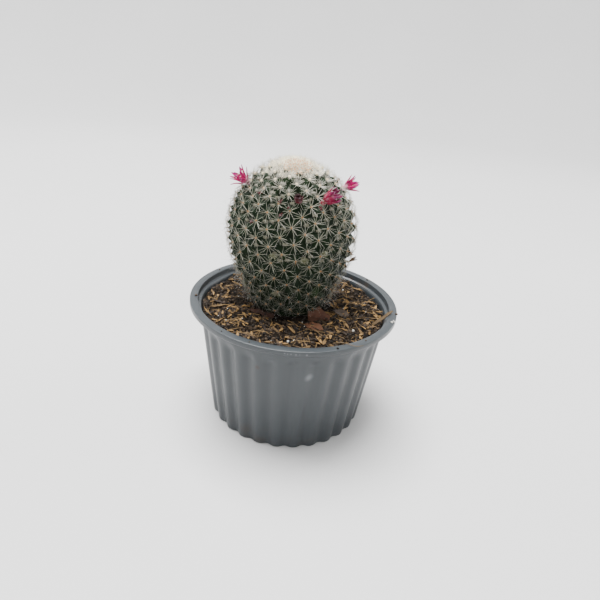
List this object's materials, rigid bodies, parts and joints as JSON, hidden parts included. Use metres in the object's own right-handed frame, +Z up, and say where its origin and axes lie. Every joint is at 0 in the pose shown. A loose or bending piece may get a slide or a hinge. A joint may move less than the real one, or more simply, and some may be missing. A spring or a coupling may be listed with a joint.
{
  "type": "potted pincushion cactus",
  "caption": "Round spiny pincushion cactus with spiral tubercles, white wool and magenta blooms near its crown, in a fluted round plastic nursery pot of husk-strewn soil.",
  "frame": {"origin": "middle of the pot's base, on the surface that it stands on", "axes": "+Z up; -Y towards the front of the picture; +X to the right"},
  "size_m": [0.12, 0.12, 0.1529],
  "materials": {
    "cactus_skin": "dull green waxy skin with white wool and spines",
    "spines": "translucent white to horn-coloured spines",
    "wool": "fine white wool and hairs",
    "petals": "satin magenta tepals, paler at the foot",
    "closed_petals": "dark red, dull",
    "dry_leaf": "brown dry leaf, matt",
    "pot_plastic": "grey moulded polypropylene, satin with soft highlights",
    "soil": "dark moist compost, matt and rough",
    "husk": "dry tan husks and wood slivers, matt",
    "grit": "white mineral grit, matt"
  },
  "bodies": {
    "root": {"cactus": "cactus_skin", "bloom_left": "petals", "bloom_front": "petals", "bloom_right": "petals", "bloom_closed": "closed_petals", "bloom_dried": "dry_leaf", "pot": "pot_plastic", "soil": "soil", "leaf_scrap_left": "dry_leaf", "leaf_scrap_right": "dry_leaf", "leaf_scrap_front": "dry_leaf", "leaf_scrap_grey": "dry_leaf", "wood_sliver": "husk", "root_fibre": "husk"}
  },
  "joints": []
}
